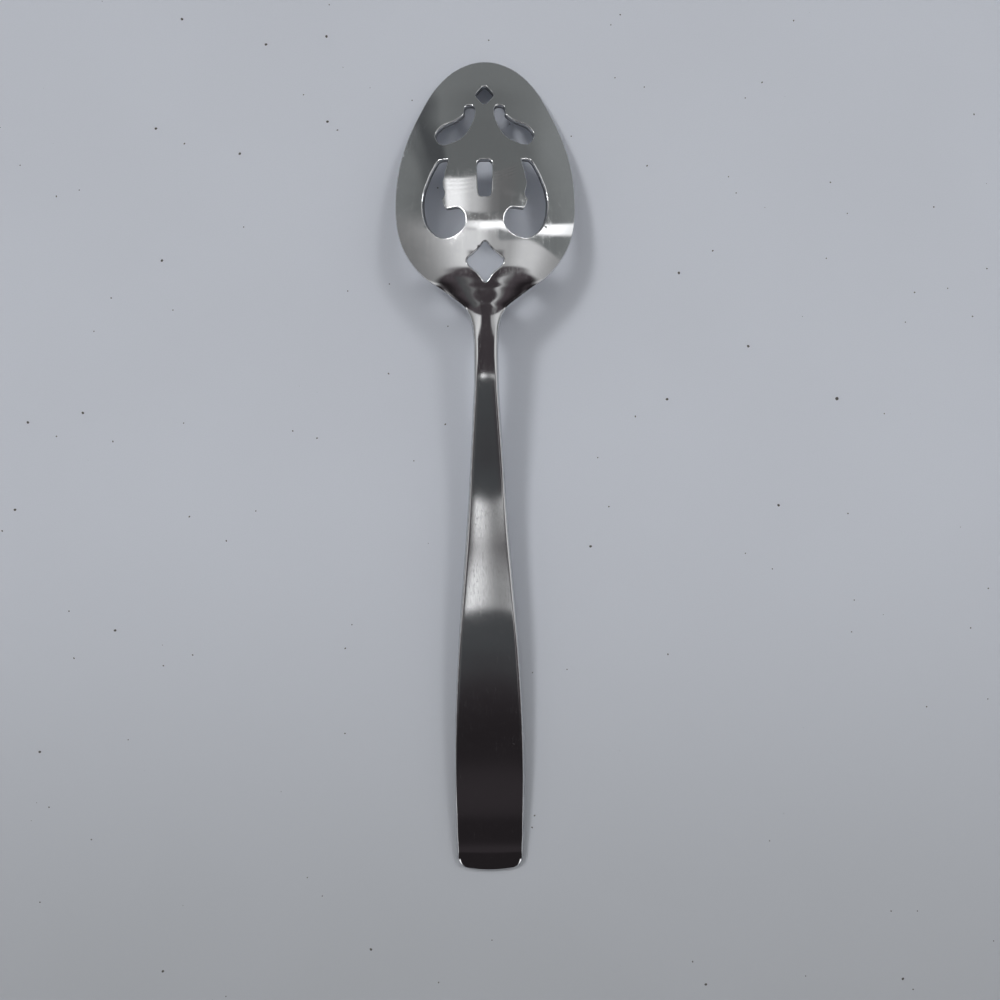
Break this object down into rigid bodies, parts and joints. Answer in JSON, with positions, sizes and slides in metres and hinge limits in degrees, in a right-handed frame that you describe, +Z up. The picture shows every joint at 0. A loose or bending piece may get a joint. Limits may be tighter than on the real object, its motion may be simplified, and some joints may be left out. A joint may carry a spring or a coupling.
{
  "type": "slotted serving spoon",
  "caption": "One-piece stainless steel serving spoon with an oval pierced bowl for draining, a slim neck and a broad flat handle, lying face down.",
  "frame": {"origin": "middle of the spoon's box, on the table it lies on", "axes": "+Y along the spoon, towards the tip of the bowl; +Z up, away from the table, out of the spoon's back; +X to the right as seen from above"},
  "size_m": [0.047, 0.215, 0.0178],
  "materials": {
    "steel": "polished stainless steel with fine brushing and light wear"
  },
  "bodies": {
    "root": {"bowl": "steel", "neck": "steel", "handle": "steel"}
  },
  "joints": []
}
